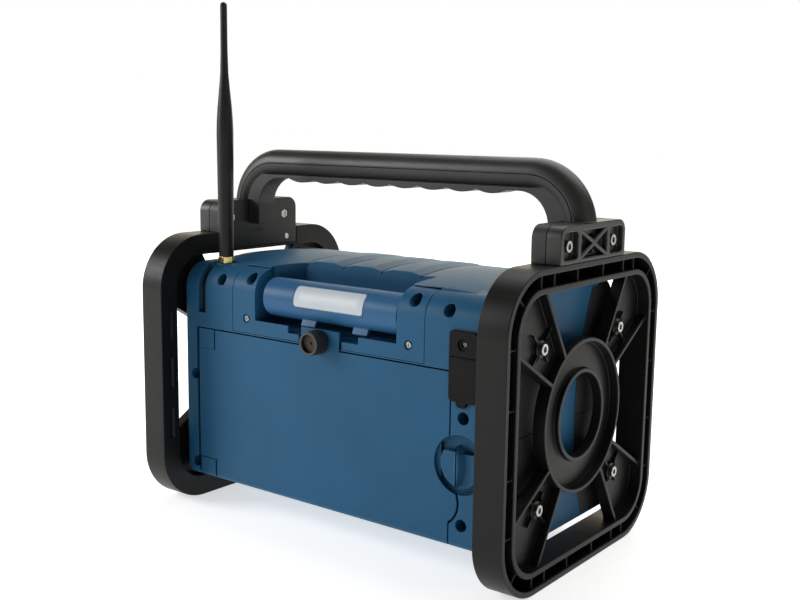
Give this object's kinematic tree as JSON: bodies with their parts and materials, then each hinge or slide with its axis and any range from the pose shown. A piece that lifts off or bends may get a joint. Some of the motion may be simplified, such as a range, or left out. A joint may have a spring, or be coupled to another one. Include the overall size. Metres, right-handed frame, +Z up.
{
  "type": "jobsite radio",
  "caption": "Free-standing jobsite radio: hollow housing between two moulded end frames, carrying handle, swivel work lamp, battery door at the back, screw-on antenna.",
  "frame": {"origin": "on the ground under the middle of the two end frames", "axes": "+Z up; the front with the speakers faces -Y, the back with the battery door faces +Y, the antenna is at +X"},
  "size_m": [0.37, 0.2364, 0.434],
  "materials": {
    "blue_housing": "satin moulded",
    "lamp_blue": "satin moulded",
    "black_housing": "satin moulded",
    "end_pad": "matte",
    "frame_black": "fine grain moulded",
    "handle_grey": "soft touch",
    "handle_dark": "satin moulded",
    "steel": "zinc plated",
    "brass": "plated",
    "lens": "frosted",
    "led_board": "satin",
    "knob_black": "satin",
    "seal_rubber": "matte",
    "socket_black": "satin",
    "tray_black": "satin",
    "cell_wrap": "satin",
    "antenna_rubber": "satin",
    "grille_black": "fine grain moulded",
    "cone_paper": "matte",
    "basket_metal": "satin",
    "panel_black": "satin",
    "display_clear": "polished",
    "display_glass": "satin",
    "board_green": "satin",
    "button_grey": "matte",
    "encoder_metal": "satin"
  },
  "bodies": {
    "housing": {"rear_shell": "blue_housing", "front_shell": "black_housing", "end_pads": "end_pad", "end_frame_left": "frame_black", "end_frame_right": "frame_black", "frame_screws": "steel", "handle_outer": "handle_grey", "handle_inner": "handle_dark", "handle_bolts": "steel", "handle_nuts": "steel", "skirt_screws": "steel", "lamp_bezel": "blue_housing", "bezel_screws": "steel", "lamp_pivots": "steel", "door_hinge_pins": "steel", "door_seal": "seal_rubber", "battery_tray": "tray_black", "battery_cells": "cell_wrap", "battery_contacts": "steel", "port_cover_strap": "seal_rubber", "port_cover_screw": "steel", "power_inlet": "socket_black", "audio_socket": "socket_black", "usb_socket": "steel", "housing_screws": "steel", "antenna_socket": "brass", "speaker_grille_left": "grille_black", "speaker_grille_right": "grille_black", "speaker_cone_left": "cone_paper", "speaker_cone_right": "cone_paper", "speaker_frame_left": "basket_metal", "speaker_frame_right": "basket_metal", "control_panel": "panel_black", "display_window": "display_clear", "display_module": "display_glass", "main_board": "board_green", "tuning_encoder": "encoder_metal"},
    "antenna": {"antenna_nut": "brass", "antenna_whip": "antenna_rubber"},
    "lamp": {"lamp_tube": "lamp_blue", "lamp_lens": "lens", "led_strip": "led_board"},
    "door": {"battery_door": "blue_housing"},
    "thumbscrew": {"door_thumbscrew": "knob_black"},
    "latch": {"door_latch": "blue_housing"},
    "port_flap": {"port_cover_flap": "seal_rubber"},
    "knob": {"tuning_knob": "knob_black"},
    "power_key": {"power_button": "button_grey"},
    "mode_key": {"mode_button": "button_grey"},
    "menu_key": {"menu_button": "button_grey"},
    "lamp_key": {"lamp_button": "button_grey"},
    "preset_key_1": {"preset_button_1": "button_grey"},
    "preset_key_2": {"preset_button_2": "button_grey"},
    "preset_key_3": {"preset_button_3": "button_grey"},
    "preset_key_4": {"preset_button_4": "button_grey"}
  },
  "joints": [
    {"name": "antenna_turn", "type": "hinge", "parent": "housing", "child": "antenna", "pos_m": [0.135, 0.066, 0.2138], "axis": [0, 0, 1], "continuous": true},
    {"name": "lamp_swivel", "type": "hinge", "parent": "housing", "child": "lamp", "pos_m": [0.00165, 0.0705, 0.1915], "axis": [1, 0, 0], "range_deg": [-30, 60]},
    {"name": "door_hinge", "type": "hinge", "parent": "housing", "child": "door", "pos_m": [0.143, 0.0805, 0.0915], "axis": [0, 0, -1], "range_deg": [0, 100]},
    {"name": "thumbscrew_turn", "type": "hinge", "parent": "door", "child": "thumbscrew", "pos_m": [0.0085, 0.087, 0.1634], "axis": [0, 1, 0], "continuous": true},
    {"name": "latch_turn", "type": "hinge", "parent": "housing", "child": "latch", "pos_m": [-0.128, 0.084, 0.089], "axis": [0, 1, 0], "range_deg": [0, 90]},
    {"name": "port_flap_hinge", "type": "hinge", "parent": "housing", "child": "port_flap", "pos_m": [-0.13, 0.088, 0.1687], "axis": [1, 0, 0], "range_deg": [0, 100], "stiffness_Nm_per_rad": 0.004},
    {"name": "knob_turn", "type": "hinge", "parent": "housing", "child": "knob", "pos_m": [0, -0.077, 0.084], "axis": [0, 1, 0], "continuous": true},
    {"name": "power_key_press", "type": "slide", "parent": "housing", "child": "power_key", "axis": [0, 1, 0], "range_m": [0, 0.001], "stiffness_N_per_m": 500},
    {"name": "mode_key_press", "type": "slide", "parent": "housing", "child": "mode_key", "axis": [0, 1, 0], "range_m": [0, 0.001], "stiffness_N_per_m": 500},
    {"name": "menu_key_press", "type": "slide", "parent": "housing", "child": "menu_key", "axis": [0, 1, 0], "range_m": [0, 0.001], "stiffness_N_per_m": 500},
    {"name": "lamp_key_press", "type": "slide", "parent": "housing", "child": "lamp_key", "axis": [0, 1, 0], "range_m": [0, 0.001], "stiffness_N_per_m": 500},
    {"name": "preset_key_1_press", "type": "slide", "parent": "housing", "child": "preset_key_1", "axis": [0, 1, 0], "range_m": [0, 0.001], "stiffness_N_per_m": 500},
    {"name": "preset_key_2_press", "type": "slide", "parent": "housing", "child": "preset_key_2", "axis": [0, 1, 0], "range_m": [0, 0.001], "stiffness_N_per_m": 500},
    {"name": "preset_key_3_press", "type": "slide", "parent": "housing", "child": "preset_key_3", "axis": [0, 1, 0], "range_m": [0, 0.001], "stiffness_N_per_m": 500},
    {"name": "preset_key_4_press", "type": "slide", "parent": "housing", "child": "preset_key_4", "axis": [0, 1, 0], "range_m": [0, 0.001], "stiffness_N_per_m": 500}
  ]
}
